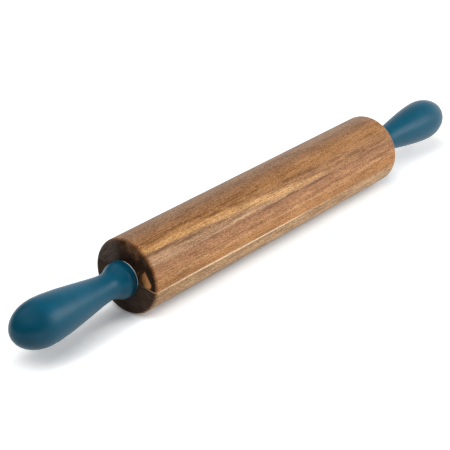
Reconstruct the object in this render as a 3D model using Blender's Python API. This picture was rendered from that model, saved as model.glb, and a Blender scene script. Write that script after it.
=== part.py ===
"""A revolving rolling pin, modelled as the pieces that it comes apart into.

The barrel is glued up from four staves and turned round. It spins on a steel axle rod, which runs through it
in two flanged nylon bushes. A painted wooden handle screws on to each end of the rod by a brass insert.

Units are metres and +Z is up. The pin lies along X on the surface z = 0, with the origin under its middle.
The end at -X is the near end, and the end at +X the far end. Run: blender --background --python part.py
"""

import math

import bmesh
import bpy
from mathutils import Matrix, Vector
from mathutils.geometry import interpolate_bezier

# Fits: a glued or pressed seat, a turning fit, the axial play beside a washer, and meshing threads
SEAT_GAP = 0.0003
RUNNING_CLEARANCE = 0.0003
END_PLAY = 0.0003
THREAD_CLEARANCE = 0.0003
CUT_OVERRUN = 0.02
MERGE_DISTANCE = 0.00001

# Barrel
BARREL_RADIUS = 0.0275
BARREL_LENGTH = 0.289
RIM_RADIUS = 0.003
BORE_CLEARANCE = 0.001
BARREL_FACETS = 48
RIM_STEPS = 3

# Glue joints: where each plane passes the axis, as a share of the barrel's radius, at the near end and the
# far end, and how far it leans. The main joint is nearly level and the side joints are nearly upright.
MAIN_JOINT_SHARES = (0.07, 0.015)
MAIN_JOINT_LEAN = math.radians(11)
FRONT_JOINT_SHARES = (-0.77, -0.93)
FRONT_JOINT_LEAN = math.radians(-11)
BACK_JOINT_SHARES = (0.5, 0.43)
BACK_JOINT_LEAN = math.radians(7)

# Axle rod, with a thread at each end
AXLE_RADIUS = 0.004
THREAD_PITCH = 0.00125
THREAD_DEPTH = 0.00065
AXLE_THREAD_TURNS = 12
AXLE_CHAMFER = 0.0006
AXLE_FACETS = 16

# Nylon bushes in the barrel's ends
BUSH_SLEEVE_WALL = 0.0037
BUSH_FLANGE_RADIUS = 0.011
BUSH_FLANGE_THICKNESS = 0.002
BUSH_LENGTH = 0.022
BUSH_CHAMFER = 0.0005
BUSH_FACETS = 24

# Thrust washers between the barrel and the handles
WASHER_THICKNESS = 0.0008
WASHER_INSET = 0.0011
WASHER_EDGE_RADIUS = 0.0003
WASHER_EDGE_STEPS = 2
WASHER_FACETS = 40

# Handles
HANDLE_LENGTH = 0.101
COLLAR_RADIUS = 0.0132
BEAD_RADIUS = 0.0013
BAND_LENGTH = 0.006
BAND_END_RADIUS = 0.01295
NECK_PLACE = 0.0171
NECK_RADIUS = 0.00945
BULB_PLACE = 0.0765
BULB_RADIUS = 0.0165
FLARE_REACH_SHARES = (0.126, 0.5)
SWELL_REACH_SHARES = (0.175, 0.315)
HANDLE_FACETS = 32
BEAD_STEPS = 4
FLARE_STEPS = 6
SWELL_STEPS = 7
TIP_STEPS = 8

# Brass inserts in the handles
INSERT_DEPTH = 0.002
INSERT_TURNS = 9
INSERT_WALL = 0.0009
RIDGE_HEIGHT = 0.0008
RIDGE_TURNS = 4
RIDGE_LEAD = 0.0006
ROD_END_ROOM = 0.002

# Worked out from the sizes above
AXIS_HEIGHT = BARREL_RADIUS * math.cos(math.pi / BARREL_FACETS)
SLEEVE_BORE = AXLE_RADIUS + RUNNING_CLEARANCE
SLEEVE_RADIUS = SLEEVE_BORE + BUSH_SLEEVE_WALL
WASHER_RADIUS = COLLAR_RADIUS - WASHER_INSET
HANDLE_START = END_PLAY + WASHER_THICKNESS + END_PLAY
THREAD_START = HANDLE_START + INSERT_DEPTH - THREAD_PITCH
THREAD_END = THREAD_START + (AXLE_THREAD_TURNS + 1) * THREAD_PITCH
ROD_END = THREAD_END + AXLE_CHAMFER
INSERT_LENGTH = (INSERT_TURNS + 2) * THREAD_PITCH
INSERT_CORE = AXLE_RADIUS + THREAD_CLEARANCE + INSERT_WALL
RIDGE_PITCH = (INSERT_LENGTH - RIDGE_LEAD - RIDGE_LEAD) / (RIDGE_TURNS + 1)

# Finishes: colour, roughness and metallic
FINISHES = {
    "upper_wood": ((0.36, 0.17, 0.065), 0.5, 0.0),
    "front_wood": ((0.34, 0.14, 0.06), 0.5, 0.0),
    "lower_wood": ((0.30, 0.19, 0.085), 0.5, 0.0),
    "back_wood": ((0.25, 0.12, 0.055), 0.5, 0.0),
    "paint": ((0.022, 0.1, 0.165), 0.4, 0.0),
    "nylon": ((0.62, 0.64, 0.62), 0.45, 0.0),
    "steel": ((0.55, 0.55, 0.56), 0.3, 1.0),
    "brass": ((0.7, 0.5, 0.2), 0.35, 1.0),
}
SHARP_ANGLE = math.radians(35)


def clear_scene():
    for obj in list(bpy.data.objects):
        bpy.data.objects.remove(obj, do_unlink=True)


def finish(name):
    """The named material, made once."""
    if name in bpy.data.materials:
        return bpy.data.materials[name]
    colour, roughness, metallic = FINISHES[name]
    material = bpy.data.materials.new(name)
    material.use_nodes = True
    shader = material.node_tree.nodes["Principled BSDF"]
    shader.inputs["Base Color"].default_value = (*colour, 1)
    shader.inputs["Roughness"].default_value = roughness
    shader.inputs["Metallic"].default_value = metallic
    material.diffuse_color = (*colour, 1)
    return material


def make_object(name, bm, material, parent=None):
    """Closes off the bmesh as an object, shaded smooth between its sharp edges."""
    bmesh.ops.remove_doubles(bm, verts=bm.verts, dist=MERGE_DISTANCE)
    bmesh.ops.recalc_face_normals(bm, faces=bm.faces)
    mesh = bpy.data.meshes.new(name)
    bm.to_mesh(mesh)
    bm.free()
    mesh.shade_smooth()
    mesh.set_sharp_from_angle(angle=SHARP_ANGLE)
    mesh.materials.append(finish(material))
    obj = bpy.data.objects.new(name, mesh)
    obj.parent = parent
    bpy.context.scene.collection.objects.link(obj)
    return obj


def axis_empty(name):
    """An empty on the pin's axis, which the pieces that turn together hang from."""
    empty = bpy.data.objects.new(name, None)
    empty.location = (0, 0, AXIS_HEIGHT)
    bpy.context.scene.collection.objects.link(empty)
    return empty


def place_at_end(obj, far):
    """Puts a piece, drawn with +X outwards from the barrel's end face, at that end of the barrel."""
    obj.location.x = BARREL_LENGTH / 2 if far else -BARREL_LENGTH / 2
    obj.rotation_euler.z = 0 if far else math.pi
    return obj


def arc(centre_x, centre_radius, radius, start, end, steps):
    """Points (x, distance from the axis) along an arc, both ends included."""
    angles = [start + (end - start) * step / steps for step in range(steps + 1)]
    return [(centre_x + radius * math.cos(a), centre_radius + radius * math.sin(a)) for a in angles]


def level_curve(start, end, reach_shares, steps):
    """A curve from start to end that leaves and arrives parallel to the axis, without its first point."""
    span = end[0] - start[0]
    first_reach = Vector((start[0] + span * reach_shares[0], start[1]))
    second_reach = Vector((end[0] - span * reach_shares[1], end[1]))
    points = interpolate_bezier(Vector(start), first_reach, second_reach, Vector(end), steps + 1)
    return [(point.x, point.y) for point in points[1:]]


def turned(outline, facets, closed):
    """A bmesh of the outline of (x, radius) points turned round the X axis, with a flat facet underneath."""
    bm = bmesh.new()
    start = Matrix.Rotation(math.pi / facets, 4, "X")
    verts = [bm.verts.new(start @ Vector((x, 0, radius))) for x, radius in outline]
    pairs = list(zip(verts, verts[1:] + verts[:1]))
    edges = [bm.edges.new(pair) for pair in (pairs if closed else pairs[:-1])]
    bmesh.ops.spin(
        bm, geom=verts + edges, cent=(0, 0, 0), axis=(1, 0, 0), angle=2 * math.pi, steps=facets, use_merge=True
    )
    return bm


def ring(bm, x, radius, facets):
    """A ring of vertices round the X axis."""
    angles = [2 * math.pi * (k + 0.5) / facets for k in range(facets)]
    return [bm.verts.new((x, radius * math.cos(a), radius * math.sin(a))) for a in angles]


def join_rings(bm, first, second):
    for k in range(len(first)):
        after = (k + 1) % len(first)
        bm.faces.new((first[k], first[after], second[after], second[k]))


def cap_ring(bm, verts, x):
    """Closes a ring with a fan to a point on the axis."""
    centre = bm.verts.new((x, 0, 0))
    for k in range(len(verts)):
        bm.faces.new((verts[k], verts[(k + 1) % len(verts)], centre))


def thread(bm, first, last, start_x, pitch, turns, even_radius, odd_radius):
    """A helical ridge or groove between two plain rings, from lines that climb one pitch a turn.

    Every other line lies at the even radius, starting and ending there, and those between at the odd radius.
    """
    facets = len(first)
    rows = []
    for j in range(2 * turns + 1):
        row = ring(bm, start_x + pitch * j / 2, odd_radius if j % 2 else even_radius, facets)
        for k, vert in enumerate(row):
            vert.co.x += pitch * k / facets
        rows.append(row)
    for low, high in zip([first] + rows, rows + [last]):
        for k in range(facets - 1):
            bm.faces.new((low[k], low[k + 1], high[k + 1], high[k]))
    for j in range(2 * turns - 2):
        bm.faces.new((rows[j][-1], rows[j + 2][0], rows[j + 3][0], rows[j + 1][-1]))
    bm.faces.new((first[-1], first[0], rows[0][0], rows[0][-1]))
    bm.faces.new((rows[0][-1], rows[0][0], rows[1][0], rows[2][0]))
    bm.faces.new((rows[-1][0], last[0], last[-1], rows[-1][-1]))
    bm.faces.new((rows[-3][-1], rows[-1][0], rows[-1][-1], rows[-2][-1]))


def barrel_outline():
    """The closed outline of half the barrel's section: bore, bush seats, end faces and rounded rims."""
    end = BARREL_LENGTH / 2
    flange_seat = end - BUSH_FLANGE_THICKNESS - SEAT_GAP
    sleeve_seat = end - BUSH_LENGTH - SEAT_GAP
    flange_radius = BUSH_FLANGE_RADIUS + SEAT_GAP
    sleeve_radius = SLEEVE_RADIUS + SEAT_GAP
    far_half = arc(end - RIM_RADIUS, BARREL_RADIUS - RIM_RADIUS, RIM_RADIUS, math.pi / 2, 0, RIM_STEPS)
    far_half += [(end, flange_radius), (flange_seat, flange_radius), (flange_seat, sleeve_radius)]
    far_half += [(sleeve_seat, sleeve_radius), (sleeve_seat, AXLE_RADIUS + BORE_CLEARANCE)]
    near_half = [(-x, radius) for x, radius in reversed(far_half)]
    return far_half + near_half


def half_space(name, shares, lean, upright, side):
    """A hidden cutter that fills one side of a glue plane, and half a seat gap of the other side."""
    near, far = (Vector((0, share * BARREL_RADIUS, 0)) for share in shares)
    if not upright:
        near, far = (Vector((0, 0, place.y)) for place in (near, far))
    near.x, far.x = -BARREL_LENGTH / 2, BARREL_LENGTH / 2
    along = (far - near).normalized()
    across = Vector((0, -math.sin(lean), math.cos(lean)) if upright else (0, math.cos(lean), math.sin(lean)))
    normal = along.cross(across).normalized() * side
    reach = BARREL_LENGTH / 2 + CUT_OVERRUN
    bm = bmesh.new()
    bmesh.ops.create_cube(bm, size=1)
    bmesh.ops.scale(bm, vec=(2 * reach, 2 * reach, reach), verts=bm.verts)
    frame = Matrix((along, normal.cross(along), normal)).transposed().to_4x4()
    frame.translation = (near + far) / 2 + normal * (reach / 2 - SEAT_GAP / 2)
    bmesh.ops.transform(bm, matrix=frame, verts=bm.verts)
    cutter = make_object(name, bm, "steel")
    cutter.location.z = AXIS_HEIGHT
    cutter.hide_render = True
    cutter.display_type = "WIRE"
    return cutter


def carve(obj, cutters):
    """Cuts the cutters from the object and keeps the result as its mesh."""
    for cutter in cutters:
        modifier = obj.modifiers.new(cutter.name, "BOOLEAN")
        modifier.object = cutter
        modifier.operation = "DIFFERENCE"
        modifier.solver = "EXACT"
    bpy.context.view_layer.update()
    evaluated = obj.evaluated_get(bpy.context.evaluated_depsgraph_get())
    mesh = bpy.data.meshes.new_from_object(evaluated)
    mesh.name = obj.name
    obj.modifiers.clear()
    obj.data = mesh
    mesh.shade_smooth()
    mesh.set_sharp_from_angle(angle=SHARP_ANGLE)


def make_barrel(parent):
    """The four staves: each is the turned barrel less what lies beyond the glue planes that bound it."""
    above = half_space("cut_above_main", MAIN_JOINT_SHARES, MAIN_JOINT_LEAN, False, 1)
    below = half_space("cut_below_main", MAIN_JOINT_SHARES, MAIN_JOINT_LEAN, False, -1)
    behind_front = half_space("cut_behind_front", FRONT_JOINT_SHARES, FRONT_JOINT_LEAN, True, -1)
    before_front = half_space("cut_before_front", FRONT_JOINT_SHARES, FRONT_JOINT_LEAN, True, 1)
    behind_back = half_space("cut_behind_back", BACK_JOINT_SHARES, BACK_JOINT_LEAN, True, -1)
    before_back = half_space("cut_before_back", BACK_JOINT_SHARES, BACK_JOINT_LEAN, True, 1)
    staves = {
        "upper_stave": ("upper_wood", (below, before_front)),
        "front_stave": ("front_wood", (below, behind_front)),
        "lower_stave": ("lower_wood", (above, behind_back)),
        "back_stave": ("back_wood", (above, before_back)),
    }
    for name, (material, cutters) in staves.items():
        stave = make_object(name, turned(barrel_outline(), BARREL_FACETS, True), material, parent)
        carve(stave, cutters)
    for cutter in (above, below, behind_front, before_front, behind_back, before_back):
        bpy.data.objects.remove(cutter, do_unlink=True)


def bush_outline():
    inner, outer = SLEEVE_BORE, SLEEVE_RADIUS
    return [
        (0, inner + BUSH_CHAMFER),
        (0, BUSH_FLANGE_RADIUS),
        (-BUSH_FLANGE_THICKNESS, BUSH_FLANGE_RADIUS),
        (-BUSH_FLANGE_THICKNESS, outer),
        (BUSH_CHAMFER - BUSH_LENGTH, outer),
        (-BUSH_LENGTH, outer - BUSH_CHAMFER),
        (-BUSH_LENGTH, inner),
        (-BUSH_CHAMFER, inner),
    ]


def washer_outline():
    low, high = END_PLAY, END_PLAY + WASHER_THICKNESS
    edge, rounding = WASHER_RADIUS - WASHER_EDGE_RADIUS, WASHER_EDGE_RADIUS
    outer_low = arc(low + rounding, edge, rounding, math.pi, math.pi / 2, WASHER_EDGE_STEPS)
    outer_high = arc(high - rounding, edge, rounding, math.pi / 2, 0, WASHER_EDGE_STEPS)
    return [(low, SLEEVE_BORE)] + outer_low + outer_high + [(high, SLEEVE_BORE)]


def handle_outline():
    """Open outline from the blind bore's end, round the back face and the outside, to the tip."""
    pocket_radius = INSERT_CORE + RIDGE_HEIGHT + SEAT_GAP
    pocket_end = HANDLE_START + INSERT_DEPTH + INSERT_LENGTH + SEAT_GAP
    rod_room = AXLE_RADIUS + THREAD_CLEARANCE
    bore_end = ROD_END + ROD_END_ROOM
    bore = [(bore_end, 0), (bore_end, rod_room), (pocket_end, rod_room), (pocket_end, pocket_radius)]
    bore.append((HANDLE_START, pocket_radius))
    bead_centre = HANDLE_START + BEAD_RADIUS
    bead = arc(bead_centre, COLLAR_RADIUS - BEAD_RADIUS, BEAD_RADIUS, math.pi, math.pi / 2, BEAD_STEPS)
    band_end = (HANDLE_START + BAND_LENGTH, BAND_END_RADIUS)
    neck = (HANDLE_START + NECK_PLACE, NECK_RADIUS)
    bulb = (HANDLE_START + BULB_PLACE, BULB_RADIUS)
    flare = [band_end] + level_curve(band_end, neck, FLARE_REACH_SHARES, FLARE_STEPS)
    swell = level_curve(neck, bulb, SWELL_REACH_SHARES, SWELL_STEPS)
    tip_length = HANDLE_LENGTH - BULB_PLACE
    turns = [math.pi / 2 * step / TIP_STEPS for step in range(1, TIP_STEPS)]
    tip = [(bulb[0] + tip_length * math.sin(a), BULB_RADIUS * math.cos(a)) for a in turns]
    tip.append((HANDLE_START + HANDLE_LENGTH, 0))
    return bore + bead + flare + swell + tip


def axle_half(bm, sign):
    """Half the rod, from its middle ring to one threaded end. The half turned round has sign -1."""
    start = len(bm.verts)
    end_x = BARREL_LENGTH / 2
    root = AXLE_RADIUS - THREAD_DEPTH
    middle = ring(bm, 0, AXLE_RADIUS, AXLE_FACETS)
    shoulder = ring(bm, end_x + THREAD_START, AXLE_RADIUS, AXLE_FACETS)
    thread_stop = ring(bm, end_x + THREAD_END + THREAD_PITCH / AXLE_FACETS, root, AXLE_FACETS)
    tip = ring(bm, end_x + ROD_END, root - AXLE_CHAMFER, AXLE_FACETS)
    join_rings(bm, middle, shoulder)
    first_row = end_x + THREAD_START + THREAD_PITCH / AXLE_FACETS
    thread(bm, shoulder, thread_stop, first_row, THREAD_PITCH, AXLE_THREAD_TURNS, root, AXLE_RADIUS)
    join_rings(bm, thread_stop, tip)
    cap_ring(bm, tip, end_x + ROD_END)
    bm.verts.ensure_lookup_table()
    if sign < 0:
        half = bm.verts[start:]
        bmesh.ops.rotate(bm, verts=half, cent=(0, 0, 0), matrix=Matrix.Rotation(math.pi, 3, "Z"))


def make_axle(parent):
    bm = bmesh.new()
    axle_half(bm, 1)
    axle_half(bm, -1)
    make_object("axle_rod", bm, "steel", parent)


def make_insert(name, parent):
    """A sleeve with the rod's thread inside and a coarse wood thread outside."""
    bm = bmesh.new()
    low = HANDLE_START + INSERT_DEPTH
    high = low + INSERT_LENGTH
    root = AXLE_RADIUS - THREAD_DEPTH + THREAD_CLEARANCE
    crest = AXLE_RADIUS + THREAD_CLEARANCE
    inner_low = ring(bm, low, crest, AXLE_FACETS)
    inner_high = ring(bm, high, crest, AXLE_FACETS)
    outer_low = ring(bm, low, INSERT_CORE, AXLE_FACETS)
    outer_high = ring(bm, high, INSERT_CORE, AXLE_FACETS)
    first_row = low + THREAD_PITCH / AXLE_FACETS + THREAD_PITCH / 2
    thread(bm, inner_low, inner_high, first_row, THREAD_PITCH, INSERT_TURNS, crest, root)
    thread(
        bm, outer_low, outer_high, low + RIDGE_LEAD, RIDGE_PITCH, RIDGE_TURNS,
        INSERT_CORE, INSERT_CORE + RIDGE_HEIGHT,
    )
    join_rings(bm, inner_low, outer_low)
    join_rings(bm, inner_high, outer_high)
    return make_object(name, bm, "brass", parent)


def make_turned(name, outline, facets, closed, material, parent):
    return make_object(name, turned(outline, facets, closed), material, parent)


def make_pin():
    clear_scene()
    barrel_axis = axis_empty("barrel_axis")
    handle_axis = axis_empty("handle_axis")
    make_barrel(barrel_axis)
    make_axle(handle_axis)
    for end in ("near", "far"):
        pieces = [
            make_turned(f"{end}_bush", bush_outline(), BUSH_FACETS, True, "nylon", barrel_axis),
            make_turned(f"{end}_washer", washer_outline(), WASHER_FACETS, True, "nylon", handle_axis),
            make_insert(f"{end}_insert", handle_axis),
            make_turned(f"{end}_handle", handle_outline(), HANDLE_FACETS, False, "paint", handle_axis),
        ]
        for piece in pieces:
            place_at_end(piece, end == "far")


make_pin()
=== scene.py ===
"""The looks of the revolving rolling pin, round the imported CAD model.

The barrel's four staves, the handles and the washers are turned again here on finer outlines. The
bushes, the axle rod and the inserts keep their CAD shapes. Every piece gets a procedural finish.

Units are metres and +Z is up. The pin lies along X, with its near end at -X, and rests on z = 0.
The wood's materials work in millimetres from the barrel's axis.
"""

import math

import bmesh
import bpy
from mathutils import Matrix, Vector
from mathutils.geometry import interpolate_bezier


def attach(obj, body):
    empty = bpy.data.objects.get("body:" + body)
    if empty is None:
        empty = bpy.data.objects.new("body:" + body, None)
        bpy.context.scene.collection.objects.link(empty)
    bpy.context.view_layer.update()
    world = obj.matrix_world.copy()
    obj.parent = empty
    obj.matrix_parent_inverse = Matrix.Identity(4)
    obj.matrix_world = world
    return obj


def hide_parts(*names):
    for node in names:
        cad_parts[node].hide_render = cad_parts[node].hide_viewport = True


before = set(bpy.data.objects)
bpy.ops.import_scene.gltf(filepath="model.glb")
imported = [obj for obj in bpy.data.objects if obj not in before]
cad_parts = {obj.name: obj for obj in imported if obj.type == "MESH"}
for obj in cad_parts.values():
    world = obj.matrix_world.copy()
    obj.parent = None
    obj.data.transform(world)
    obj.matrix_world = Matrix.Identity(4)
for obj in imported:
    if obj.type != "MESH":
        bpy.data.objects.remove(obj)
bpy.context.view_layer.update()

# Sizes of the CAD model. Seats are (radius, depth), and the handle's points (distance from its
# back face, radius). Reaches are how far a curve's two control points lie from its ends, as
# shares of its length along x
AXIS_HEIGHT = 0.0274411
CAD_RADIUS = 0.0275
BARREL_RADIUS = AXIS_HEIGHT
BARREL_END = 0.1445
RIM_RADIUS = 0.003
BORE_RADIUS = 0.005
SLEEVE_SEAT = (0.0083, 0.0223)
FLANGE_SEAT = (0.0113, 0.0023)
ROD_CLEARANCE_RADIUS = 0.0043
WASHER_RADIUS = 0.0121
WASHER_SPAN = (0.0003, 0.0011)
WASHER_EDGE_RADIUS = 0.0003
HANDLE_START = 0.0014
HANDLE_LENGTH = 0.101
COLLAR_RADIUS = 0.0132
BEAD_RADIUS = 0.0013
BAND_END = (0.006, 0.01295)
NECK = (0.0171, 0.00945)
BULB = (0.0765, 0.0165)
FLARE_REACHES = (0.126, 0.5)
SWELL_REACHES = (0.175, 0.315)
POCKET_RADIUS = 0.0063
POCKET_END = 0.01745
BORE_END = 0.021

# Glue planes: where they cross the axis' level at the near and far end, as shares of the CAD's
# radius, and their lean in degrees
MAIN_JOINT = ((0.07, 0.015), 11)
FRONT_JOINT = ((-0.77, -0.93), -11)
BACK_JOINT = ((0.5, 0.43), 7)

# Fineness of the meshes
BARREL_FACETS = 192
HANDLE_FACETS = 128
WASHER_FACETS = 128
RIM_STEPS = 12
BEAD_STEPS = 10
FLARE_STEPS = 24
SWELL_STEPS = 36
TIP_STEPS = 28
WASHER_EDGE_STEPS = 5
SHARP_ANGLE = math.radians(35)

# Making of the meshes: the gap between staves, the distance under which points merge, how far
# from a rim its support points lie, and how far the cutters reach past the barrel
JOINT_GAP = 0.00002
MERGE_DISTANCE = 0.000001
SUPPORT_INSET = 0.0004
CUTTER_MARGIN = 0.02

# Camera
CAMERA_PLACE = (-0.7735, -0.5994, 0.4846)
CAMERA_YAW = math.radians(39.203)
CAMERA_PITCH = math.radians(-25.773)
CAMERA_LENS = 116.76
CAMERA_SENSOR = 36

# Light. Lamps: name, place, aim, size, watts, and whether gloss mirrors it
LAMPS = (
    ("overhead", (-0.55, -0.12, 1.2), (0, 0, 0), (1.1, 1.1), 12, False),
    ("front", (0.574, -0.805, 0.513), (0, 0, 0.03), (0.56, 0.7), 6.25, True),
    ("back", (-0.28, 0.98, 1.22), (0, 0, 0.03), (0.9, 0.9), 2.2, True),
)

# World: the horizon's level rises towards the bright side, and drops to the ceiling's with height
BRIGHT_SIDE = (0.985, -0.17, 0)
HORIZON_SPAN = (0.1, 0.85)
HORIZON_LEVELS = (0.05, 1.5)
CEILING_SPAN = (0.2, 0.85)
CEILING_LEVEL = 0.15

# Floor. A fill is a glow that the camera and reflections see, and that lights nothing else.
# The side and end fills are painted light that lifts the pin's shadow beside the barrel and past
# the handles' ends, and the cooler white by the wood is painted light that cancels the warm light
# the barrel bounces on to it. Spans are metres from the pin's middle
FLOOR_REACH = 30
FLOOR_ROUGHNESS = 0.9
FLOOR_SEEN = (1.0, 1.0, 1.0)
FLOOR_BOUNCE = (0.65, 0.65, 0.65)
FLOOR_BY_WOOD = (0.92, 0.965, 1.0)
FLOOR_FILL = 0.11
SIDE_FILL = 0.25
END_FILL = 0.15
BY_WOOD_SPAN = (0.165, 0.135)
BESIDE_SPAN = (0.011, 0.020)
PAST_FAR_END_SPAN = (0.13, 0.19)
PAST_NEAR_END_SPAN = (-0.205, -0.24)
FADE_SPAN = (0.35, 1.2)

# Limits in the node helpers: the share of a mark that has its full strength, and a distance
# beyond every outline
MARK_CORE = 0.15
FAR_INSIDE = 1000.0

# Millimetres in a metre
MILLIMETRES = 1000


def mesh_object(name, bm, body, node, material):
    """The bmesh as a piece that rides on the body and stands for the CAD node."""
    bmesh.ops.remove_doubles(bm, verts=bm.verts, dist=MERGE_DISTANCE)
    bmesh.ops.recalc_face_normals(bm, faces=bm.faces)
    mesh = bpy.data.meshes.new(name)
    bm.to_mesh(mesh)
    bm.free()
    piece = bpy.data.objects.new(name, mesh)
    bpy.context.scene.collection.objects.link(piece)
    dress(piece, material)
    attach(piece, body)
    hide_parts(node)


def dress(piece, material):
    """Gives the piece its material, and smooth shading that keeps its edges sharp."""
    piece.data.materials.clear()
    piece.data.materials.append(material)
    piece.data.shade_smooth()
    piece.data.set_sharp_from_angle(angle=SHARP_ANGLE)


def arc(centre_x, centre_radius, radius, start, end, steps):
    """Points (x, distance from the axis) along an arc with both its ends, in degrees."""
    angles = [math.radians(start + (end - start) * step / steps) for step in range(steps + 1)]
    offsets = [(radius * math.cos(angle), radius * math.sin(angle)) for angle in angles]
    return [(centre_x + along, centre_radius + out) for along, out in offsets]


def level_curve(start, end, reaches, steps):
    """A curve that is parallel to the axis at its start and end, without its first point."""
    span = end[0] - start[0]
    first_reach = Vector((start[0] + span * reaches[0], start[1]))
    second_reach = Vector((end[0] - span * reaches[1], end[1]))
    points = interpolate_bezier(Vector(start), first_reach, second_reach, Vector(end), steps + 1)
    return [(point.x, point.y) for point in points[1:]]


def turned(outline, facets, closed):
    """A bmesh of the outline of (x, radius) points turned round the X axis."""
    bm = bmesh.new()
    verts = [bm.verts.new((x, 0, radius)) for x, radius in outline]
    pairs = list(zip(verts, verts[1:] + verts[:1]))
    edges = [bm.edges.new(pair) for pair in (pairs if closed else pairs[:-1])]
    bmesh.ops.spin(
        bm,
        geom=verts + edges,
        cent=(0, 0, 0),
        axis=(1, 0, 0),
        angle=2 * math.pi,
        steps=facets,
        use_merge=True,
    )
    return bm


def put_at_end(bm, far):
    """Moves a bmesh, drawn outwards along +X from an end face, to that end of the barrel."""
    turn = Matrix.Identity(4) if far else Matrix.Rotation(math.pi, 4, "Z")
    shift = Matrix.Translation((BARREL_END if far else -BARREL_END, 0, AXIS_HEIGHT))
    bmesh.ops.transform(bm, matrix=shift @ turn, verts=bm.verts)


def barrel_outline():
    """Closed outline of half the barrel's section: bore, bush seats, end faces and rims."""
    end = BARREL_END
    rim = arc(end - RIM_RADIUS, BARREL_RADIUS - RIM_RADIUS, RIM_RADIUS, 90, 0, RIM_STEPS)
    far_half = [(end - RIM_RADIUS - SUPPORT_INSET, BARREL_RADIUS)] + rim
    far_half.append((end, BARREL_RADIUS - RIM_RADIUS - SUPPORT_INSET))
    far_half += [(end, FLANGE_SEAT[0]), (end - FLANGE_SEAT[1], FLANGE_SEAT[0])]
    far_half += [(end - FLANGE_SEAT[1], SLEEVE_SEAT[0]), (end - SLEEVE_SEAT[1], SLEEVE_SEAT[0])]
    far_half.append((end - SLEEVE_SEAT[1], BORE_RADIUS))
    near_half = [(-x, radius) for x, radius in reversed(far_half)]
    return far_half + near_half


def half_space(joint, upright, side):
    """A hidden cutter that fills one side of a glue plane and half the gap."""
    shares, lean = joint
    lean = math.radians(lean)
    ends = [share * CAD_RADIUS for share in shares]
    near, far = (Vector((0, place, 0)) if upright else Vector((0, 0, place)) for place in ends)
    near.x, far.x = -BARREL_END, BARREL_END
    along = (far - near).normalized()
    if upright:
        across = Vector((0, -math.sin(lean), math.cos(lean)))
    else:
        across = Vector((0, math.cos(lean), math.sin(lean)))
    normal = along.cross(across).normalized() * side
    reach = BARREL_END + CUTTER_MARGIN
    bm = bmesh.new()
    bmesh.ops.create_cube(bm, size=1)
    bmesh.ops.scale(bm, vec=(2 * reach, 2 * reach, reach), verts=bm.verts)
    turn = Matrix((along, normal.cross(along), normal)).transposed().to_4x4()
    turn.translation = (near + far) / 2 + normal * (reach / 2 - JOINT_GAP / 2)
    bmesh.ops.transform(bm, matrix=Matrix.Translation((0, 0, AXIS_HEIGHT)) @ turn, verts=bm.verts)
    mesh = bpy.data.meshes.new("cutter")
    bm.to_mesh(mesh)
    bm.free()
    cutter = bpy.data.objects.new("cutter", mesh)
    bpy.context.scene.collection.objects.link(cutter)
    return cutter


def carve(bm, cutters):
    """Cuts the cutters from the bmesh, and gives what is left as a new bmesh."""
    mesh = bpy.data.meshes.new("blank")
    bm.to_mesh(mesh)
    bm.free()
    blank = bpy.data.objects.new("blank", mesh)
    bpy.context.scene.collection.objects.link(blank)
    for cutter in cutters:
        modifier = blank.modifiers.new("cut", "BOOLEAN")
        modifier.object = cutter
        modifier.operation = "DIFFERENCE"
        modifier.solver = "EXACT"
    bpy.context.view_layer.update()
    evaluated = blank.evaluated_get(bpy.context.evaluated_depsgraph_get())
    result = bmesh.new()
    result.from_mesh(evaluated.to_mesh())
    evaluated.to_mesh_clear()
    bpy.data.objects.remove(blank, do_unlink=True)
    bpy.data.meshes.remove(mesh)
    return result


def handle_outline():
    """Open outline from the blind bore's end, round the back face and the outside, to the tip."""
    pocket = [(BORE_END, 0), (BORE_END, ROD_CLEARANCE_RADIUS), (POCKET_END, ROD_CLEARANCE_RADIUS)]
    pocket += [(POCKET_END, POCKET_RADIUS), (HANDLE_START, POCKET_RADIUS)]
    bead_centre = (HANDLE_START + BEAD_RADIUS, COLLAR_RADIUS - BEAD_RADIUS)
    bead = arc(*bead_centre, BEAD_RADIUS, 180, 90, BEAD_STEPS)
    band_end = (HANDLE_START + BAND_END[0], BAND_END[1])
    neck = (HANDLE_START + NECK[0], NECK[1])
    bulb = (HANDLE_START + BULB[0], BULB[1])
    flare = [band_end] + level_curve(band_end, neck, FLARE_REACHES, FLARE_STEPS)
    swell = level_curve(neck, bulb, SWELL_REACHES, SWELL_STEPS)
    tip_length = HANDLE_LENGTH - BULB[0]
    turns = [math.pi / 2 * step / TIP_STEPS for step in range(1, TIP_STEPS)]
    tip = [(bulb[0] + tip_length * math.sin(a), bulb[1] * math.cos(a)) for a in turns]
    tip.append((HANDLE_START + HANDLE_LENGTH, 0))
    return pocket + bead + flare + swell + tip


def washer_outline():
    """Closed outline of a washer's section, with rounded outer edges."""
    low, high = WASHER_SPAN
    edge, rounding = WASHER_RADIUS - WASHER_EDGE_RADIUS, WASHER_EDGE_RADIUS
    outer = arc(low + rounding, edge, rounding, 180, 90, WASHER_EDGE_STEPS)
    outer += arc(high - rounding, edge, rounding, 90, 0, WASHER_EDGE_STEPS)
    return [(low, ROD_CLEARANCE_RADIUS)] + outer + [(high, ROD_CLEARANCE_RADIUS)]


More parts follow.
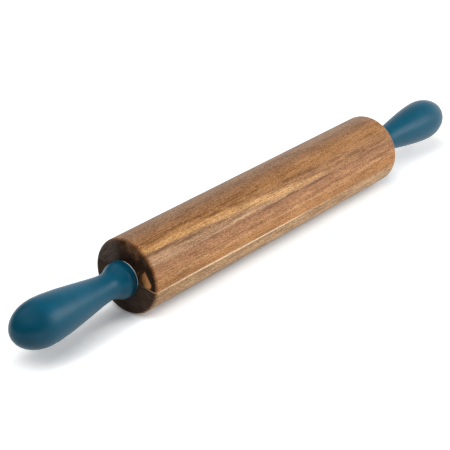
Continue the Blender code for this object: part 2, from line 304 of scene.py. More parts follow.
class Graph:
    """The nodes of a material or of the world, with short calls for the kinds used here."""

    def __init__(self, owner, shader="Principled BSDF"):
        owner.use_nodes = True
        self.owner = owner
        self.tree = owner.node_tree
        self.shader = self.tree.nodes[shader]

    def node(self, kind, values=(), **settings):
        """A node with its settings, and its inputs, by number or name, linked or set."""
        made = self.tree.nodes.new(kind)
        for name, value in settings.items():
            setattr(made, name, value)
        for key, value in dict(values).items():
            self.feed(made.inputs[key], value)
        return made

    def feed(self, socket, value):
        if isinstance(value, bpy.types.NodeSocket):
            self.tree.links.new(value, socket)
        elif socket.type == "RGBA":
            socket.default_value = (*value, 1)
        else:
            socket.default_value = value

    def set(self, **values):
        """Feeds the shader's sockets, named with _ for a space."""
        for name, value in values.items():
            self.feed(self.shader.inputs[name.replace("_", " ")], value)

    def math(self, operation, *values):
        made = self.node("ShaderNodeMath", enumerate(values), operation=operation)
        return made.outputs[0]

    def add(self, a, b):
        return self.math("ADD", a, b)

    def sub(self, a, b):
        return self.math("SUBTRACT", a, b)

    def times(self, a, b):
        return self.math("MULTIPLY", a, b)

    def length(self, vector):
        made = self.node("ShaderNodeVectorMath", {0: vector}, operation="LENGTH")
        return made.outputs["Value"]

    def share(self, value, low, high):
        """0 up to low, 1 from high on, even between."""
        values = {"Value": value, "From Min": low, "From Max": high}
        return self.node("ShaderNodeMapRange", values).outputs[0]

    def level(self, value, span, levels):
        """Goes smoothly from the first level to the second while the value crosses the span."""
        values = {"Value": value, "From Min": span[0], "From Max": span[1]}
        values.update({"To Min": levels[0], "To Max": levels[1]})
        return self.node("ShaderNodeMapRange", values, interpolation_type="SMOOTHSTEP").outputs[0]

    def rise(self, value, low, high):
        """0 up to low, 1 from high on, smooth between. With high under low it falls instead."""
        if low > high:
            return self.sub(1.0, self.rise(value, high, low))
        return self.level(value, (low, high), (0.0, 1.0))

    def window(self, value, low, high, soft):
        """1 between low and high, with soft edges."""
        up = self.rise(value, low - soft, low + soft)
        down = self.rise(value, high + soft, high - soft)
        return self.times(up, down)

    def total(self, *terms):
        """The sum of each term's value less a half, times its weight."""
        result = 0.0
        for value, weight in terms:
            values = {0: value, 1: weight, 2: -0.5 * weight}
            term = self.node("ShaderNodeMath", values, operation="MULTIPLY_ADD").outputs[0]
            result = self.add(result, term)
        return result

    def marks(self, x, across, table):
        """The sum of soft ellipses: centre x and across, half length, half width and strength."""
        place = self.combine(x, across, 0.0)
        result = 0.0
        for centre_x, centre_across, reach_x, reach_across, strength in table:
            scale = (1 / reach_x, 1 / reach_across, 0)
            shift = (-centre_x / reach_x, -centre_across / reach_across, 0)
            values = {0: place, 1: scale, 2: shift}
            scaled = self.node("ShaderNodeVectorMath", values, operation="MULTIPLY_ADD")
            distance = self.length(scaled.outputs[0])
            result = self.add(result, self.level(distance, (1.0, MARK_CORE), (0.0, strength)))
        return result

    def curve(self, value, points):
        """A value that follows the input through (input, result) points, smooth between."""
        low, high = points[0][0], points[-1][0]
        least = min(result for _, result in points)
        span = max(result for _, result in points) - least
        made = self.node("ShaderNodeFloatCurve", {"Value": self.share(value, low, high)})
        line = made.mapping.curves[0]
        line.points[0].location = (0, (points[0][1] - least) / span)
        line.points[-1].location = (1, (points[-1][1] - least) / span)
        for place, result in points[1:-1]:
            line.points.new((place - low) / (high - low), (result - least) / span)
        made.mapping.update()
        return self.add(least, self.times(span, made.outputs[0]))

    def inside(self, y, height, corners, soft):
        """1 within a convex outline, whose corners are given with the inside on their left."""
        nearest = FAR_INSIDE
        for start, end in zip(corners, corners[1:] + corners[:1]):
            step = (end[0] - start[0], end[1] - start[1])
            length = math.hypot(*step)
            from_y = self.times(self.sub(y, start[0]), -step[1] / length)
            from_height = self.times(self.sub(height, start[1]), step[0] / length)
            nearest = self.math("MINIMUM", nearest, self.add(from_y, from_height))
        return self.rise(nearest, -soft, soft)

    def mix(self, share, first, second, blend="MIX"):
        made = self.node("ShaderNodeMix", data_type="RGBA", blend_type=blend)
        self.feed(made.inputs["Factor"], share)
        self.feed(made.inputs[6], first)
        self.feed(made.inputs[7], second)
        return made.outputs[2]

    def combine(self, x, y, z):
        return self.node("ShaderNodeCombineXYZ", {0: x, 1: y, 2: z}).outputs[0]

    def noise(self, vector, detail, scale=1.0):
        values = {"Vector": vector, "Scale": scale, "Detail": detail}
        return self.node("ShaderNodeTexNoise", values).outputs[0]

    def line_of_colours(self, value, stops):
        """A colour that follows value through (value, colour) stops."""
        low, high = stops[0][0], stops[-1][0]
        ramp = self.node("ShaderNodeValToRGB", {0: self.share(value, low, high)})
        elements = ramp.color_ramp.elements
        for place, _ in stops[1:-1]:
            elements.new((place - low) / (high - low))
        for element, (_, colour) in zip(elements, stops):
            element.color = (*colour, 1)
        return ramp.outputs[0]

    def bump(self, height, strength, distance):
        values = {"Height": height, "Strength": strength, "Distance": distance}
        return self.node("ShaderNodeBump", values).outputs[0]


# Figure of the barrel's side. Angles are degrees from the top towards the front, places mm along
# x. The band is the yellow one, and the strips are what lies between it and the pale glue line.
# The band's fade is in widths of the band, and softness is how far an edge blurs
BAND_EDGE = (
    (-145, 38.3),
    (-110, 40.5),
    (-80, 43.5),
    (-50, 48.0),
    (-20, 53.0),
    (0, 56.0),
    (20, 57.2),
    (60, 58.5),
    (145, 57.0),
)
BAND_WIDTH = ((-145, 10.5), (-80, 11.5), (-20, 13.0), (10, 11.0), (40, 7.5), (145, 5.0))
BAND_STRENGTH = ((-145, 0.95), (20, 1.0), (40, 0.8), (70, 0.15), (145, 0.0))
BAND_EDGE_SPAN = (0.5, -0.5)
BAND_FADE_SPAN = (1.15, 0.55)
GOLDEN_SPAN = (0.6, 3.5)
SEAM_DEPTH = ((-145, 0.35), (-100, 0.45), (-50, 0.85), (20, 1.15), (60, 1.1), (145, 0.9))
SEAM_STRENGTH = (
    (-145, 0.1),
    (-125, 0.6),
    (-80, 1.0),
    (-10, 1.0),
    (20, 0.5),
    (60, 0.12),
    (145, 0.0),
)
SEAM_PLANE = (1.169, -0.00523, 0.194)
SEAM_HALF_WIDTH = 0.62
SEAM_SOFTNESS = 0.22
SEAM_FIBRES = (0.55, 0.9)
SEAM_HALF_WIDTH_ON_END = 0.5
SEAM_SOFTNESS_ON_END = 0.25
SEAM_SPAN_ON_END = (-14.0, -22.0)
PALE_LINE = (
    (-145, 86.0),
    (-100, 85.6),
    (-50, 87.5),
    (0, 88.2),
    (40, 88.0),
    (70, 86.6),
    (105, 84.0),
    (145, 80.6),
)
PALE_HALF_WIDTH = 0.5
PALE_SOFTNESS = 0.5
PALE_FIBRES = (0.3, 1.3)
PALE_STRENGTH = (
    (-145, 0.1),
    (-90, 0.4),
    (-40, 0.15),
    (0, 0.15),
    (30, 0.5),
    (80, 0.8),
    (145, 1.0),
)
ORANGE_SHIFT = ((-145, 0.0), (40, 0.0), (90, 2.5), (145, 6.0))
ORANGE_SPAN = (72.0, 79.0)
STRIP_END_SPAN = (-0.5, 0.3)
UPPER_SHADE = ((-145, -0.04), (-60, -0.02), (0, 0.02), (80, 0.09), (145, 0.08))
STRIP_SHADE = ((-145, 0.01), (0, 0.0), (60, -0.05), (145, -0.11))
UNDER_SHADE = ((-145, -0.04), (0, 0.0), (145, 0.06))
UPPER_TONES = (
    (-180, (0.24, 0.125, 0.060)),
    (-70, (0.26, 0.140, 0.070)),
    (-12, (0.30, 0.166, 0.085)),
    (2, (0.26, 0.130, 0.060)),
    (10, (0.265, 0.125, 0.052)),
    (18, (0.31, 0.142, 0.052)),
    (28, (0.34, 0.155, 0.052)),
    (40, (0.34, 0.157, 0.056)),
    (58, (0.31, 0.138, 0.048)),
)
STRIP_TONES = (
    (38, (0.32, 0.165, 0.075)),
    (45, (0.33, 0.168, 0.078)),
    (49, (0.40, 0.215, 0.103)),
    (53, (0.36, 0.190, 0.089)),
    (56, (0.41, 0.222, 0.104)),
    (58, (0.39, 0.205, 0.094)),
    (60.5, (0.32, 0.138, 0.054)),
    (64, (0.36, 0.160, 0.064)),
    (68, (0.40, 0.182, 0.074)),
    (74, (0.44, 0.205, 0.086)),
    (78, (0.41, 0.190, 0.074)),
    (81, (0.51, 0.252, 0.106)),
    (83.5, (0.51, 0.252, 0.100)),
    (86, (0.47, 0.212, 0.074)),
    (92, (0.51, 0.230, 0.074)),
    (99, (0.50, 0.226, 0.072)),
)
UNDER_TONES = (
    (96, (0.42, 0.230, 0.100)),
    (104, (0.47, 0.264, 0.116)),
    (112, (0.53, 0.300, 0.134)),
    (130, (0.46, 0.270, 0.120)),
    (180, (0.36, 0.205, 0.095)),
    (270, (0.27, 0.140, 0.066)),
)
GOLDEN = (0.55, 0.290, 0.106)
GOLDEN_EDGE = (0.45, 0.235, 0.090)
STRIP_END = (0.46, 0.205, 0.066)
PALE_FIBRE = (0.66, 0.370, 0.180)
SEAM = (1.0, 0.780, 0.520)
PORE = (0.09, 0.045, 0.025)
PORE_STRENGTH = 0.48
DARK_RIM_TINT = (0.62, 0.52, 0.42)
TONE_FACTORS = (
    (-0.55, (0.50, 0.44, 0.36)),
    (-0.25, (0.74, 0.69, 0.61)),
    (0.0, (1.0, 1.0, 1.0)),
    (0.25, (1.27, 1.33, 1.42)),
    (0.5, (1.50, 1.62, 1.85)),
)

# Marks on the side: place along x, angle, half length, half width in degrees, and strength
UPPER_MARKS = (
    (-100, 21.5, 26, 3.0, -0.34),
    (-82, 23.0, 9, 2.0, -0.45),
    (-127, 25.0, 10, 2.4, -0.25),
    (-68, 31.5, 8, 3.2, -0.40),
    (-47, 32.5, 9, 2.0, -0.40),
    (-23, 28.5, 14, 2.6, -0.50),
    (-21, 35.7, 9, 1.6, -0.40),
    (-55, 24.0, 8, 2.2, -0.20),
    (12, 36.5, 10, 3.0, -0.35),
    (28, 38.5, 30, 5.5, -0.30),
    (42, 41.8, 12, 2.2, -0.30),
    (8, 43.0, 8, 1.6, -0.30),
    (38, 24.0, 14, 2.0, -0.25),
    (68, 44.0, 12, 4.0, -0.30),
    (73, 50.0, 9, 3.0, -0.38),
    (84, 41.0, 6, 3.0, -0.30),
    (93, 49.0, 16, 5.0, -0.42),
    (104, 53.5, 6, 2.2, -0.45),
    (124, 33.5, 13, 2.0, -0.32),
    (126, 52.0, 16, 2.2, -0.28),
    (95, 20.0, 30, 5.0, 0.16),
    (-112, 17.0, 44, 7.0, 0.12),
    (-108, 28.0, 40, 4.0, 0.12),
)
STRIP_MARKS = (
    (-128, 41.8, 22, 3.6, -0.42),
    (-101, 45.8, 24, 3.0, -0.42),
    (-66, 47.0, 16, 2.6, -0.30),
    (-48, 51.0, 10, 3.0, -0.22),
    (-52, 56.2, 24, 2.2, 0.28),
    (0, 57.0, 30, 1.8, 0.20),
    (-80, 60.0, 8, 4.0, -0.32),
    (-45, 61.0, 18, 2.4, -0.20),
    (-12, 60.5, 20, 2.6, -0.34),
    (8, 58.8, 10, 3.0, -0.28),
    (42, 60.8, 24, 3.4, -0.46),
    (118, 58.5, 28, 2.6, -0.34),
    (64, 57.5, 16, 2.2, 0.15),
    (-106, 67.5, 8, 1.8, -0.36),
    (-87, 75.2, 9, 1.6, -0.34),
    (-42, 76.4, 20, 1.6, -0.30),
    (58, 75.4, 40, 1.8, -0.28),
    (118, 72.4, 30, 1.8, -0.30),
    (26, 71.0, 9, 1.8, 0.30),
    (75, 68.5, 14, 3.6, 0.22),
    (-98, 79.2, 14, 2.0, 0.20),
    (22, 81.6, 55, 2.2, 0.22),
    (-60, 82.4, 22, 1.8, 0.14),
    (-118, 86.4, 12, 1.8, -0.30),
    (113, 77.5, 22, 3.4, 0.26),
    (96, 85.5, 14, 3.0, -0.20),
    (-122, 92.0, 50, 9.0, -0.24),
)
UNDER_MARKS = (
    (-131, 100.5, 6, 1.6, -0.40),
    (-85, 103.5, 10, 3.0, -0.30),
    (-20, 103.0, 22, 2.0, -0.22),
    (100, 107.5, 40, 4.0, 0.25),
    (-138, 112.0, 34, 12.0, -0.40),
)

# End grain: outlines in mm (y, height from the axis), and colours (darker, paler)
BRIGHT_WEDGE = (
    (-18.0, 9.9),
    (-23.5, 1.2),
    (-22.4, -1.4),
    (-17.6, -1.9),
    (-14.9, 3.3),
    (-15.4, 7.0),
)
BROWN_WEDGE = ((-17.6, 10.6), (-18.0, 4.0), (-15.4, -1.6), (-9.5, -1.0), (-9.8, 7.2))
BRIGHT_WEDGE_TONES = (0.24, 0.105, 0.032), (0.64, 0.28, 0.10)
BROWN_WEDGE_TONES = (0.022, 0.0105, 0.004), (0.078, 0.036, 0.013)
END_SEAM = (0.42, 0.22, 0.12)
END_RIM = (0.13, 0.062, 0.028)
TAUPE = (0.083, 0.061, 0.048)
UMBER = (0.026, 0.011, 0.005)
BROWN = (0.052, 0.031, 0.020)

# Each stave's end grain: its colour at the back and at the front, and its lines' lean in degrees
UPPER_END = (TAUPE, UMBER, -50)
FRONT_END = (UMBER, UMBER, -65)
LOWER_END = (BROWN, BROWN, 22)
BACK_END = (BROWN, UMBER, 40)

# Millimetres from the barrel's middle where the side darkens towards the rim, and where the end
# grain starts
DARK_RIM_SPAN = (141.4, 143.6)
END_GRAIN_SPAN = (143.1, 144.3)

# Grain of the side: scale along and across the fibres, seed and detail
PITS = (0.42, 2.4, 11.0, 0.0)
FLECKS = (0.75, 1.9, 1.0, 1.0)
DASHES = (0.28, 1.35, 3.0, 2.0)
STREAKS = (0.06, 0.85, 5.0, 2.0)
LINES = (0.018, 1.5, 9.0, 2.0)
BLOTCHES = (0.035, 0.14, 7.0, 2.0)
SWAY = (0.030, 0.10, 0.0, 2.0)
RIPPLE = (0.16, 0.5, 4.0, 1.0)

# How much each grain moves the tone, how far sway and ripple bend the figure in degrees, what
# streaks make of the marks, and the levels at which dashes and pits open as pores
FLECK_WEIGHT = 1.7
DASH_WEIGHT = 1.8
STREAK_WEIGHT = 0.9
LINE_WEIGHT = 1.0
BLOTCH_WEIGHT = 0.9
SWAY_DEGREES = 4.0
RIPPLE_DEGREES = 3.0
MARK_STREAKS = (-0.3, 3.4)
DASH_PORE_SPAN = (0.61, 0.71)
PIT_PORE_SPAN = (0.62, 0.72)
UNDER_CONTRAST = 1.95
UPPER_CONTRAST = 1.3
UPPER_CONTRAST_SPAN = (34.0, 20.0)

# Grain of the ends, as above. Spans of patches and lines are noise levels, the others mm
END_SWAY = (0.08, 0.08, 5.0, 2.0)
END_LINES = (0.12, 0.95, 9.0, 3.0)
END_DOTS = (1.3, 1.9, 2.0, 1.0)
END_PATCHES = (0.11, 0.11, 6.0, 3.0)
END_SWAY_WIDTH = 7.0
END_LINE_WEIGHT = 2.4
END_DOT_WEIGHT = 1.2
END_PATCH_WEIGHT = 1.0
DARK_SLOPE = 0.25
DARK_WANDER = 14.0
DARK_SPAN = (8.0, -4.0)
TOP_SLOPE = 0.6
TOP_SPAN = (17.0, 25.0)
TOP_HEIGHT_SPAN = (12.0, 20.0)
PATCH_SPAN = (0.35, 0.65)
BROWN_LINE_SPAN = (0.4, 0.6)
BROWN_SOFTNESS = 0.9
BRIGHT_WANDER = 7.0
BRIGHT_SPAN = (-15.0, -20.5)
BRIGHT_SOFTNESS = 0.5

# Finish of the wood. The relief is how far fibres stand up and pores sink
WOOD_ROUGHNESS = 0.46
END_ROUGHNESS = 0.34
PORE_ROUGHNESS = 0.15
WOOD_SPECULAR = 0.2
FIBRE_RELIEF = 0.6
PORE_RELIEF = 0.5
WOOD_BUMP = 0.35
BUMP_DEPTH = 0.0001

# Paint. Spans are metres from the barrel's end
PAINT_TONES = (0.002, 0.077, 0.134), (0.003, 0.087, 0.150)
MOTTLE_SCALE = 90.0
MOTTLE_SPAN = (0.35, 0.65)
PEEL_SCALE = 1400.0
PEEL_BUMP = 0.06
PAINT_ROUGHNESS = 0.30
MOTTLE_ROUGHNESS = 0.08
PAINT_SPECULAR = 0.18
# Painted shade: the tip, and the collar next to the barrel's end, are painted darker
SHADED_TIP_SPAN = (0.078, 0.090)
SHADED_TIP_TINT = (0.8, 0.8, 0.8)
SHADED_COLLAR_SPAN = (0.0075, 0.005)
SHADED_COLLAR_TINT = (0.72, 0.72, 0.72)

# Nylon and metal
NYLON_TONES = (0.50, 0.55, 0.58), (0.62, 0.66, 0.68)
NYLON_SCALE = 700.0
NYLON_ROUGHNESS = 0.38
NYLON_MOTTLE = 0.15
NYLON_BUMP = 0.1
STEEL_TONES = (0.50, 0.50, 0.51), (0.62, 0.62, 0.62)
STEEL_ROUGHNESS = 0.22
BRASS_TONES = (0.60, 0.40, 0.14), (0.75, 0.55, 0.24)
BRASS_ROUGHNESS = 0.26
RING_SCALE = 4000.0
RING_ROUGHNESS = 0.15
RING_BUMP = 0.12
RING_DEPTH = 0.00005
STAIN_SCALE = 160.0


def wood_places(g, wrap_below):
    """Millimetres along x and from the axis, and degrees from the top towards the front."""
    coords = g.node("ShaderNodeTexCoord").outputs["Object"]
    values = {0: coords, 1: (MILLIMETRES, MILLIMETRES, MILLIMETRES)}
    scaled = g.node("ShaderNodeVectorMath", values, operation="MULTIPLY").outputs[0]
    split = g.node("ShaderNodeSeparateXYZ", {0: scaled})
    x, y = split.outputs[0], split.outputs[1]
    height = g.sub(split.outputs[2], AXIS_HEIGHT * MILLIMETRES)
    if wrap_below:
        turn = g.math("DEGREES", g.math("ARCTAN2", g.times(y, -1.0), height))
    else:
        turn = g.add(180.0, g.math("DEGREES", g.math("ARCTAN2", y, g.times(height, -1.0))))
    return x, y, height, turn


def seam_depth(g, x, y, height):
    """Millimetres that a point lies below the middle of the pale glue line."""
    middle, along, across = SEAM_PLANE
    joint = g.add(middle, g.add(g.times(x, along), g.times(y, across)))
    return g.sub(g.sub(joint, height), g.curve(x, SEAM_DEPTH))


def grain(g, along, across, kind):
    """Noise from 0 to 1, stretched along the fibres."""
    along_scale, across_scale, seed, detail = kind
    place = g.combine(g.times(along, along_scale), g.times(across, across_scale), seed)
    return g.noise(place, detail)


def broken(g, noise, level):
    """A strength that follows the noise. The level is its value at noise 0 and its rise to 1."""
    start, rise = level
    return g.add(start, g.times(noise, rise))


def under_figure(g, x, turn):
    """Colour, marks, shade and contrast of the barrel's side below the glue line and behind."""
    colour = g.line_of_colours(turn, UNDER_TONES)
    marks = g.marks(x, turn, UNDER_MARKS)
    return colour, marks, g.curve(x, UNDER_SHADE), UNDER_CONTRAST


def upper_figure(g, x, turn, dash):
    """The same above the glue line: upper wood, yellow band, and strips with a pale line."""
    above = g.sub(g.curve(x, BAND_EDGE), turn)
    in_strips = g.rise(above, *BAND_EDGE_SPAN)
    in_upper = g.sub(1.0, in_strips)
    in_band = g.rise(g.math("DIVIDE", above, g.curve(x, BAND_WIDTH)), *BAND_FADE_SPAN)
    in_band = g.times(in_band, g.curve(x, BAND_STRENGTH))
    band = g.mix(g.rise(above, *GOLDEN_SPAN), GOLDEN_EDGE, GOLDEN)
    upper = g.mix(in_band, g.line_of_colours(turn, UPPER_TONES), band)
    orange_shift = g.times(g.rise(turn, *ORANGE_SPAN), g.curve(x, ORANGE_SHIFT))
    orange_turn = g.add(turn, orange_shift)
    from_line = g.sub(turn, g.curve(x, PALE_LINE))
    pale_line = g.window(from_line, -PALE_HALF_WIDTH, PALE_HALF_WIDTH, PALE_SOFTNESS)
    pale_line = g.times(pale_line, g.curve(x, PALE_STRENGTH))
    pale_line = g.times(pale_line, broken(g, dash, PALE_FIBRES))
    strips = g.mix(pale_line, g.line_of_colours(orange_turn, STRIP_TONES), PALE_FIBRE)
    colour = g.mix(in_strips, upper, strips)
    upper_marks = g.times(in_upper, g.marks(x, turn, UPPER_MARKS))
    marks = g.add(upper_marks, g.times(in_strips, g.marks(x, turn, STRIP_MARKS)))
    upper_shade = g.times(in_upper, g.curve(x, UPPER_SHADE))
    shade = g.add(upper_shade, g.times(in_strips, g.curve(x, STRIP_SHADE)))
    in_contrast = g.rise(turn, *UPPER_CONTRAST_SPAN)
    contrast = g.add(1.0, g.times(in_contrast, UPPER_CONTRAST - 1.0))
    return colour, marks, shade, contrast


def side_wood(g, x, y, height, turn, under):
    """The figure on the barrel's turned side, and the share of open pores in it."""
    place = g.times(turn, BARREL_RADIUS * math.radians(1) * MILLIMETRES)
    sway = grain(g, x, place, SWAY)
    ripple = grain(g, x, place, RIPPLE)
    turn = g.add(turn, g.total((sway, SWAY_DEGREES), (ripple, RIPPLE_DEGREES)))
    kinds = (PITS, FLECKS, DASHES, STREAKS, LINES, BLOTCHES)
    pit, fleck, dash, streak, line, blotch = (grain(g, x, place, kind) for kind in kinds)
    if under:
        colour, marks, shade, contrast = under_figure(g, x, turn)
    else:
        colour, marks, shade, contrast = upper_figure(g, x, turn, dash)
    depth = seam_depth(g, x, y, height)
    if under:
        colour = g.mix(g.rise(depth, *STRIP_END_SPAN), STRIP_END, colour)
    marks = g.times(marks, broken(g, streak, MARK_STREAKS))
    tone = g.total(
        (fleck, FLECK_WEIGHT),
        (dash, DASH_WEIGHT),
        (streak, STREAK_WEIGHT),
        (line, LINE_WEIGHT),
        (blotch, BLOTCH_WEIGHT),
    )
    tone = g.add(g.times(tone, contrast), g.add(marks, shade))
    colour = g.mix(1.0, colour, g.line_of_colours(tone, TONE_FACTORS), "MULTIPLY")
    seam = g.window(depth, -SEAM_HALF_WIDTH, SEAM_HALF_WIDTH, SEAM_SOFTNESS)
    seam = g.times(seam, g.curve(x, SEAM_STRENGTH))
    seam = g.times(seam, broken(g, dash, SEAM_FIBRES))
    colour = g.mix(seam, colour, SEAM)
    pores = g.math("MAXIMUM", g.rise(dash, *DASH_PORE_SPAN), g.rise(pit, *PIT_PORE_SPAN))
    colour = g.mix(g.times(pores, PORE_STRENGTH), colour, PORE)
    return colour, pores, g.add(g.times(dash, 0.5), g.times(line, 0.5))


def end_wood(g, y, height, light, dark, lean):
    """End grain: fine rings seen edge on as lines at the given lean."""
    lean = math.radians(lean)
    across = g.add(g.times(y, -math.sin(lean)), g.times(height, math.cos(lean)))
    along = g.add(g.times(y, math.cos(lean)), g.times(height, math.sin(lean)))
    across = g.add(across, g.total((grain(g, along, across, END_SWAY), END_SWAY_WIDTH)))
    lines = grain(g, along, across, END_LINES)
    dots = grain(g, along, across, END_DOTS)
    patches = grain(g, y, height, END_PATCHES)
    tone = g.total(
        (lines, END_LINE_WEIGHT),
        (dots, END_DOT_WEIGHT),
        (patches, END_PATCH_WEIGHT),
    )
    leaning = g.sub(y, g.times(height, DARK_SLOPE))
    to_dark = g.rise(g.add(leaning, g.total((patches, DARK_WANDER))), *DARK_SPAN)
    colour = g.mix(to_dark, light, dark)
    towards_top = g.rise(g.sub(height, g.times(y, TOP_SLOPE)), *TOP_SPAN)
    towards_top = g.times(towards_top, g.rise(height, *TOP_HEIGHT_SPAN))
    colour = g.mix(g.times(towards_top, g.rise(patches, *PATCH_SPAN)), colour, END_RIM)
    colour = g.mix(1.0, colour, g.line_of_colours(tone, TONE_FACTORS), "MULTIPLY")
    return colour, lines


def add_wedges(g, y, height, lines, end):
    """The pale wedge near the glue line, with brown wood beside it."""
    brown = g.mix(g.rise(lines, *BROWN_LINE_SPAN), *BROWN_WEDGE_TONES)
    towards_rim = g.rise(g.add(y, g.total((lines, BRIGHT_WANDER))), *BRIGHT_SPAN)
    bright = g.mix(towards_rim, *BRIGHT_WEDGE_TONES)
    end = g.mix(g.inside(y, height, BROWN_WEDGE, BROWN_SOFTNESS), end, brown)
    return g.mix(g.inside(y, height, BRIGHT_WEDGE, BRIGHT_SOFTNESS), end, bright)


def wood(name, end_look, wrap_below=True, wedge=False):
    """A stave's wood. Its angles jump at the bottom if they wrap below, and at the top if not."""
    g = Graph(bpy.data.materials.new(name))
    x, y, height, turn = wood_places(g, wrap_below)
    side, pores, fibre = side_wood(g, x, y, height, turn, not wrap_below)
    end, lines = end_wood(g, y, height, *end_look)
    if wedge:
        end = add_wedges(g, y, height, lines, end)
    depth = seam_depth(g, x, y, height)
    half_width = SEAM_HALF_WIDTH_ON_END
    end_seam = g.window(depth, -half_width, half_width, SEAM_SOFTNESS_ON_END)
    end = g.mix(g.times(end_seam, g.rise(y, *SEAM_SPAN_ON_END)), end, END_SEAM)
    from_middle = g.math("ABSOLUTE", x)
    # The side grows darker towards each rim
    darker_rim = g.mix(1.0, side, DARK_RIM_TINT, "MULTIPLY")
    side = g.mix(g.rise(from_middle, *DARK_RIM_SPAN), side, darker_rim)
    at_end = g.rise(from_middle, *END_GRAIN_SPAN)
    relief = g.sub(g.times(fibre, FIBRE_RELIEF), g.times(pores, PORE_RELIEF))
    rougher = g.add(g.times(at_end, END_ROUGHNESS), g.times(pores, PORE_ROUGHNESS))
    g.set(Base_Color=g.mix(at_end, side, end))
    g.set(Roughness=g.add(WOOD_ROUGHNESS, rougher))
    g.set(Specular_IOR_Level=WOOD_SPECULAR)
    g.set(Normal=g.bump(relief, WOOD_BUMP, BUMP_DEPTH))
    return g.owner


def paint():
    """Petrol blue paint, with painted shade that darkens the tip and the collar."""
    g = Graph(bpy.data.materials.new("petrol_paint"))
    coords = g.node("ShaderNodeTexCoord").outputs["Object"]
    mottle = g.noise(coords, detail=3.0, scale=MOTTLE_SCALE)
    orange_peel = g.noise(coords, detail=1.0, scale=PEEL_SCALE)
    colour = g.mix(g.rise(mottle, *MOTTLE_SPAN), *PAINT_TONES)
    along = g.node("ShaderNodeSeparateXYZ", {0: coords}).outputs[0]
    from_end = g.sub(g.math("ABSOLUTE", along), BARREL_END)
    # Painted shade: the tip and the collar by the barrel's end are darkened
    shaded_tip = g.rise(from_end, *SHADED_TIP_SPAN)
    shaded_collar = g.rise(from_end, *SHADED_COLLAR_SPAN)
    colour = g.mix(shaded_tip, colour, g.mix(1.0, colour, SHADED_TIP_TINT, "MULTIPLY"))
    colour = g.mix(shaded_collar, colour, g.mix(1.0, colour, SHADED_COLLAR_TINT, "MULTIPLY"))
    g.set(Base_Color=colour)
    g.set(Roughness=g.add(PAINT_ROUGHNESS, g.times(mottle, MOTTLE_ROUGHNESS)))
    g.set(Specular_IOR_Level=PAINT_SPECULAR)
    g.set(Normal=g.bump(orange_peel, PEEL_BUMP, BUMP_DEPTH))
    return g.owner


def nylon():
    """Natural white nylon with a faint mottle."""
    g = Graph(bpy.data.materials.new("pale_nylon"))
    coords = g.node("ShaderNodeTexCoord").outputs["Object"]
    mottle = g.noise(coords, detail=3.0, scale=NYLON_SCALE)
    g.set(Base_Color=g.mix(mottle, *NYLON_TONES))
    g.set(Roughness=g.add(NYLON_ROUGHNESS, g.times(mottle, NYLON_MOTTLE)))
    g.set(Normal=g.bump(mottle, NYLON_BUMP, BUMP_DEPTH))
    return g.owner


def metal(name, tones, roughness):
    """Turned metal with fine rings round the axis."""
    g = Graph(bpy.data.materials.new(name))
    coords = g.node("ShaderNodeTexCoord").outputs["Object"]
    split = g.node("ShaderNodeSeparateXYZ", {0: coords})
    along = g.combine(g.times(split.outputs[0], RING_SCALE), 0.0, 0.0)
    rings = g.noise(along, detail=2.0)
    stain = g.noise(coords, detail=4.0, scale=STAIN_SCALE)
    g.set(Base_Color=g.mix(stain, *tones))
    g.set(Metallic=1.0)
    g.set(Roughness=g.add(roughness, g.times(rings, RING_ROUGHNESS)))
    g.set(Normal=g.bump(rings, RING_BUMP, RING_DEPTH))
    return g.owner


def make_staves():
    """Turns the barrel once for each stave, and cuts it down to that stave."""
    above = half_space(MAIN_JOINT, upright=False, side=1)
    below = half_space(MAIN_JOINT, upright=False, side=-1)
    behind_front = half_space(FRONT_JOINT, upright=True, side=-1)
    before_front = half_space(FRONT_JOINT, upright=True, side=1)
    behind_back = half_space(BACK_JOINT, upright=True, side=-1)
    before_back = half_space(BACK_JOINT, upright=True, side=1)
    staves = (
        ("upper", (below, before_front), wood("upper_wood", UPPER_END, wedge=True)),
        ("front", (below, behind_front), wood("front_wood", FRONT_END, wedge=True)),
        ("lower", (above, behind_back), wood("lower_wood", LOWER_END, wrap_below=False)),
        ("back", (above, before_back), wood("back_wood", BACK_END, wrap_below=False)),
    )
    for name, cutters, material in staves:
        bm = turned(barrel_outline(), BARREL_FACETS, closed=True)
        bmesh.ops.translate(bm, vec=(0, 0, AXIS_HEIGHT), verts=bm.verts)
        stave = carve(bm, cutters)
        node, slot = f"{name}_stave", f"{name}_wood"
        mesh_object(f"{name}_stave_wood", stave, "barrel", node, material)
    for cutter in (above, below, behind_front, before_front, behind_back, before_back):
        bpy.data.objects.remove(cutter, do_unlink=True)


def make_ends():
    """The handles and washers, and the looks of the pieces that keep their CAD shapes."""
    painted = paint()
    pale = nylon()
    steel = metal("axle_steel", STEEL_TONES, STEEL_ROUGHNESS)
    brass = metal("insert_brass", BRASS_TONES, BRASS_ROUGHNESS)
    for end in ("near", "far"):
        far = end == "far"
        handle = turned(handle_outline(), HANDLE_FACETS, closed=False)
        put_at_end(handle, far)
        node = f"{end}_handle"
        mesh_object(f"{end}_handle_paint", handle, "handles", node, painted)
        washer = turned(washer_outline(), WASHER_FACETS, closed=True)
        put_at_end(washer, far)
        node = f"{end}_washer"
        mesh_object(f"{end}_washer_ring", washer, "handles", node, pale)
        dress(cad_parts[f"{end}_bush"], pale)
        dress(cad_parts[f"{end}_insert"], brass)
    dress(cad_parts["axle_rod"], steel)


def make_camera():
    """The camera, level across, at the given yaw from +X and pitch."""
    data = bpy.data.cameras.new("camera")
    data.lens = CAMERA_LENS
    data.sensor_width = CAMERA_SENSOR
    camera = bpy.data.objects.new("camera", data)
    level = math.cos(CAMERA_PITCH)
    looks_x, looks_y = math.cos(CAMERA_YAW) * level, math.sin(CAMERA_YAW) * level
    looks = Vector((looks_x, looks_y, math.sin(CAMERA_PITCH)))
    camera.location = CAMERA_PLACE
    camera.rotation_mode = "QUATERNION"
    camera.rotation_quaternion = looks.to_track_quat("-Z", "Y")
    bpy.context.scene.collection.objects.link(camera)
    bpy.context.scene.camera = camera


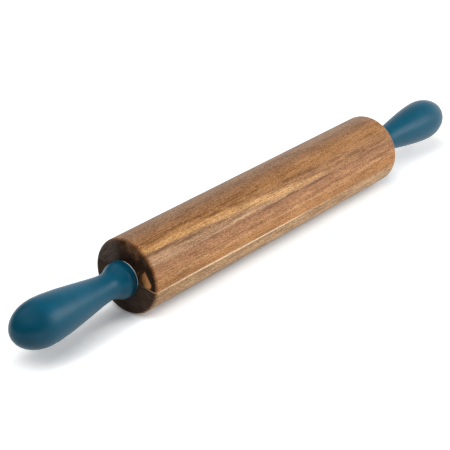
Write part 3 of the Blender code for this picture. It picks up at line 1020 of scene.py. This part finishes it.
def make_lamp(name, place, aim, size, power, mirrored):
    """A rectangular lamp that faces the aim."""
    data = bpy.data.lights.new(name, "AREA")
    data.shape = "RECTANGLE"
    data.size, data.size_y = size
    data.energy = power
    lamp = bpy.data.objects.new(name, data)
    lamp.location = place
    lamp.rotation_mode = "QUATERNION"
    lamp.rotation_quaternion = (Vector(aim) - Vector(place)).to_track_quat("-Z", "Y")
    lamp.visible_glossy = mirrored
    bpy.context.scene.collection.objects.link(lamp)


def floor_look():
    """A white that bounces less light than is seen on it, stays white far away, and has painted
    light in the pin's shadow.
    """
    g = Graph(bpy.data.materials.new("studio_floor"))
    path = g.node("ShaderNodeLightPath").outputs
    seen = g.math("MAXIMUM", path["Is Camera Ray"], path["Is Glossy Ray"])
    seen = g.math("MAXIMUM", seen, path["Is Transmission Ray"])
    coords = g.node("ShaderNodeTexCoord").outputs["Object"]
    distance = g.length(coords)
    split = g.node("ShaderNodeSeparateXYZ", {0: coords}).outputs
    # Painted light: a cooler white by the barrel cancels the warm light that the wood bounces on
    # to the floor
    by_wood = g.rise(g.math("ABSOLUTE", split[0]), *BY_WOOD_SPAN)
    # Painted light: glows that lift the pin's shadow beside the barrel and past the handles' ends
    beside = g.rise(g.math("ABSOLUTE", split[1]), *BESIDE_SPAN)
    beside = g.times(beside, g.add(SIDE_FILL / 2, g.times(by_wood, SIDE_FILL / 2)))
    past_far_end = g.rise(split[0], *PAST_FAR_END_SPAN)
    past_end = g.add(past_far_end, g.rise(split[0], *PAST_NEAR_END_SPAN))
    fill = g.add(g.add(FLOOR_FILL, beside), g.times(past_end, END_FILL))
    fill = g.math("MINIMUM", g.add(fill, g.rise(distance, *FADE_SPAN)), 1.0)
    g.set(Base_Color=g.mix(seen, FLOOR_BOUNCE, g.mix(by_wood, FLOOR_SEEN, FLOOR_BY_WOOD)))
    g.set(Roughness=FLOOR_ROUGHNESS)
    g.set(Specular_IOR_Level=0.0)
    g.set(Emission_Color=(1.0, 1.0, 1.0))
    g.set(Emission_Strength=g.times(seen, fill))
    return g.owner


def make_floor():
    bm = bmesh.new()
    bmesh.ops.create_grid(bm, x_segments=4, y_segments=4, size=FLOOR_REACH)
    mesh = bpy.data.meshes.new("floor")
    bm.to_mesh(mesh)
    bm.free()
    mesh.materials.append(floor_look())
    floor = bpy.data.objects.new("floor", mesh)
    bpy.context.scene.collection.objects.link(floor)


def make_world():
    """A horizon that is bright on the right and dark on the camera's side, under a dim ceiling."""
    world = bpy.data.worlds.new("studio")
    bpy.context.scene.world = world
    g = Graph(world, "Background")
    direction = g.node("ShaderNodeTexCoord").outputs["Generated"]
    height = g.node("ShaderNodeSeparateXYZ", {0: direction}).outputs[2]
    values = {0: direction, 1: BRIGHT_SIDE}
    facing = g.node("ShaderNodeVectorMath", values, operation="DOT_PRODUCT").outputs["Value"]
    horizon = g.level(facing, HORIZON_SPAN, HORIZON_LEVELS)
    g.set(Color=(1.0, 1.0, 1.0))
    g.set(Strength=g.level(height, CEILING_SPAN, (horizon, CEILING_LEVEL)))


def make_studio():
    bpy.context.scene.view_settings.view_transform = "Standard"
    make_camera()
    make_world()
    make_floor()
    for lamp in LAMPS:
        make_lamp(*lamp)


make_staves()
make_ends()
make_studio()
